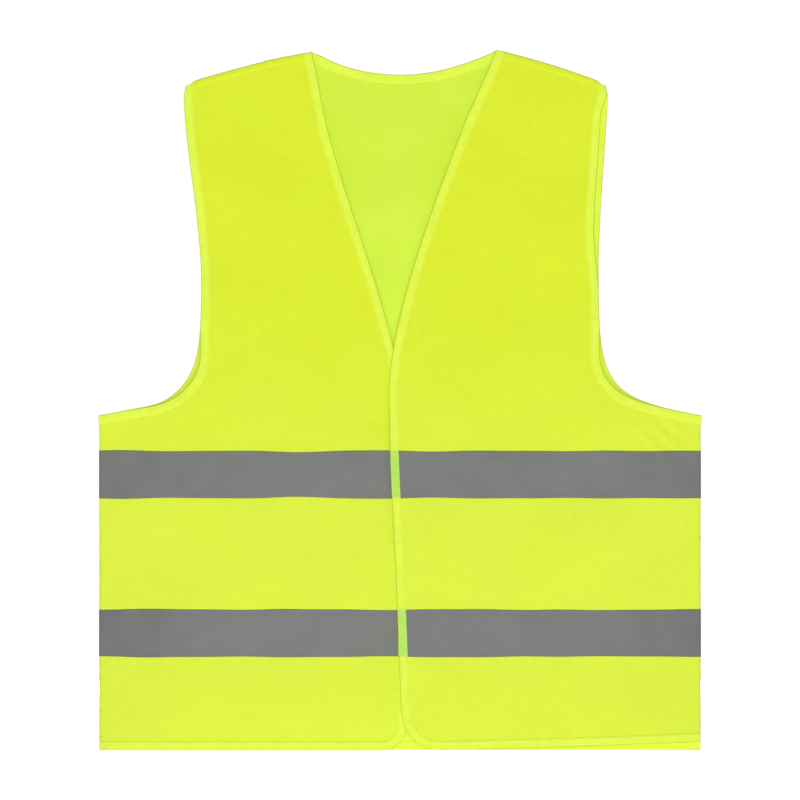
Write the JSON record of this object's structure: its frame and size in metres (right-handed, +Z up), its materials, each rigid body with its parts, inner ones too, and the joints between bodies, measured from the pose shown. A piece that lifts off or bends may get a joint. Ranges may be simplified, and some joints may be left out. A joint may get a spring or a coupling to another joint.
{
  "type": "high visibility vest",
  "caption": "Sleeveless fluorescent yellow safety vest with reflective bands, bound edges and overlapping fronts that fold open.",
  "frame": {"origin": "midway across the vest's width and depth, at the bottom of the hem", "axes": "+Z up, the front faces -Y, +X to the wearer's left"},
  "size_m": [0.64, 0.064, 0.7412],
  "materials": {
    "hi_vis_fabric": "matt warp-knit polyester, fluorescent yellow",
    "binding": "matt woven binding tape, fluorescent yellow",
    "reflective_tape": "grey retroreflective glass-bead tape, satin",
    "hook": "hook side of touch fastener",
    "loop": "loop side of touch fastener",
    "label": "blank woven satin label"
  },
  "bodies": {
    "back": {"back_neck_binding": "binding", "back_panel": "hi_vis_fabric", "care_label": "label", "hem_binding": "binding", "left_armhole_binding": "binding", "left_shoulder_seam": "binding", "left_side_panel": "hi_vis_fabric", "left_side_seam": "hi_vis_fabric", "lower_tape_back": "reflective_tape", "lower_tape_left_side": "reflective_tape", "lower_tape_right_side": "reflective_tape", "right_armhole_binding": "binding", "right_shoulder_seam": "binding", "right_side_panel": "hi_vis_fabric", "right_side_seam": "hi_vis_fabric", "upper_tape_back": "reflective_tape", "upper_tape_left_side": "reflective_tape", "upper_tape_right_side": "reflective_tape"},
    "left_front": {"left_front_binding": "binding", "left_front_panel": "hi_vis_fabric", "lower_tape_left_front": "reflective_tape", "upper_tape_left_front": "reflective_tape", "lower_hook_patch": "hook", "upper_hook_patch": "hook"},
    "right_front": {"lower_tape_right_front": "reflective_tape", "right_front_binding": "binding", "right_front_panel": "hi_vis_fabric", "upper_tape_right_front": "reflective_tape", "lower_loop_patch": "loop", "upper_loop_patch": "loop"}
  },
  "joints": [
    {"name": "left_front_open", "type": "hinge", "parent": "back", "child": "left_front", "pos_m": [0.159, -0.0128, 0.3705], "axis": [-0.1624, 0.032, 0.9862], "range_deg": [0, 170]},
    {"name": "right_front_open", "type": "hinge", "parent": "back", "child": "right_front", "pos_m": [-0.159, -0.0128, 0.3705], "axis": [-0.1624, -0.032, -0.9862], "range_deg": [0, 170]}
  ]
}
